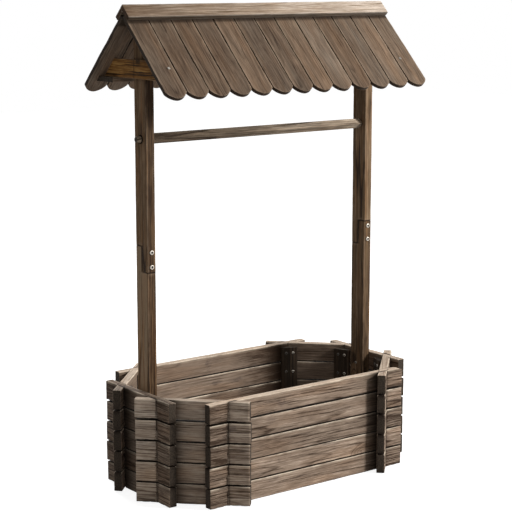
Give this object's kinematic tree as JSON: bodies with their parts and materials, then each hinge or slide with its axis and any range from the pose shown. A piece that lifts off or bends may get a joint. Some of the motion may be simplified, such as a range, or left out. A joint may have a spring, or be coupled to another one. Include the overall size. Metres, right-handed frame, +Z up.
{
  "type": "wishing well planter",
  "caption": "Long octagonal planter of halved-in wall boards with two lapped posts, a turning windlass bar and a pitched roof of round-ended boards.",
  "frame": {"origin": "on the ground, in the middle of the planter's footprint", "axes": "+X along the planter's length and the ridge, +Y towards the back, +Z up"},
  "size_m": [0.7668, 0.4608, 1.1026],
  "materials": {
    "wall_wood": "brushed and stained softwood, greyish brown",
    "post_wood": "brushed and stained softwood, greyish brown",
    "roof_wood": "brushed and stained softwood, light greyish brown",
    "tie_wood": "sawn softwood, warm brown",
    "fixings": "zinc plated"
  },
  "bodies": {
    "planter_frame": {"wall_front_board_1": "wall_wood", "wall_back_board_1": "wall_wood", "wall_left_board_1": "wall_wood", "wall_right_board_1": "wall_wood", "wall_front_left_board_1": "wall_wood", "wall_front_right_board_1": "wall_wood", "wall_back_right_board_1": "wall_wood", "wall_back_left_board_1": "wall_wood", "wall_front_board_2": "wall_wood", "wall_back_board_2": "wall_wood", "wall_left_board_2": "wall_wood", "wall_right_board_2": "wall_wood", "wall_front_left_board_2": "wall_wood", "wall_front_right_board_2": "wall_wood", "wall_back_right_board_2": "wall_wood", "wall_back_left_board_2": "wall_wood", "wall_front_board_3": "wall_wood", "wall_back_board_3": "wall_wood", "wall_left_board_3": "wall_wood", "wall_right_board_3": "wall_wood", "wall_front_left_board_3": "wall_wood", "wall_front_right_board_3": "wall_wood", "wall_back_right_board_3": "wall_wood", "wall_back_left_board_3": "wall_wood", "wall_front_board_4": "wall_wood", "wall_back_board_4": "wall_wood", "wall_left_board_4": "wall_wood", "wall_right_board_4": "wall_wood", "wall_front_left_board_4": "wall_wood", "wall_front_right_board_4": "wall_wood", "wall_back_right_board_4": "wall_wood", "wall_back_left_board_4": "wall_wood", "wall_front_board_5": "wall_wood", "wall_back_board_5": "wall_wood", "wall_left_board_5": "wall_wood", "wall_right_board_5": "wall_wood", "wall_front_left_board_5": "wall_wood", "wall_front_right_board_5": "wall_wood", "wall_back_right_board_5": "wall_wood", "wall_back_left_board_5": "wall_wood", "post_left_lower": "post_wood", "post_left_upper": "post_wood", "post_right_lower": "post_wood", "post_right_upper": "post_wood", "corner_battens": "wall_wood", "gable_tie_left": "tie_wood", "gable_tie_right": "tie_wood", "roof_boards_front": "roof_wood", "roof_boards_back": "roof_wood", "ridge_cap_front": "roof_wood", "ridge_cap_back": "roof_wood", "eave_batten_front": "tie_wood", "eave_batten_back": "tie_wood", "ridge_batten_front": "tie_wood", "ridge_batten_back": "tie_wood", "floor_bearers": "wall_wood", "floor_boards": "wall_wood", "lap_bolts": "fixings", "wood_screws": "fixings"},
    "windlass": {"windlass_bar": "post_wood"}
  },
  "joints": [
    {"name": "windlass_turn", "type": "hinge", "parent": "planter_frame", "child": "windlass", "pos_m": [0, 0, 0.809], "axis": [1, 0, 0], "continuous": true}
  ]
}
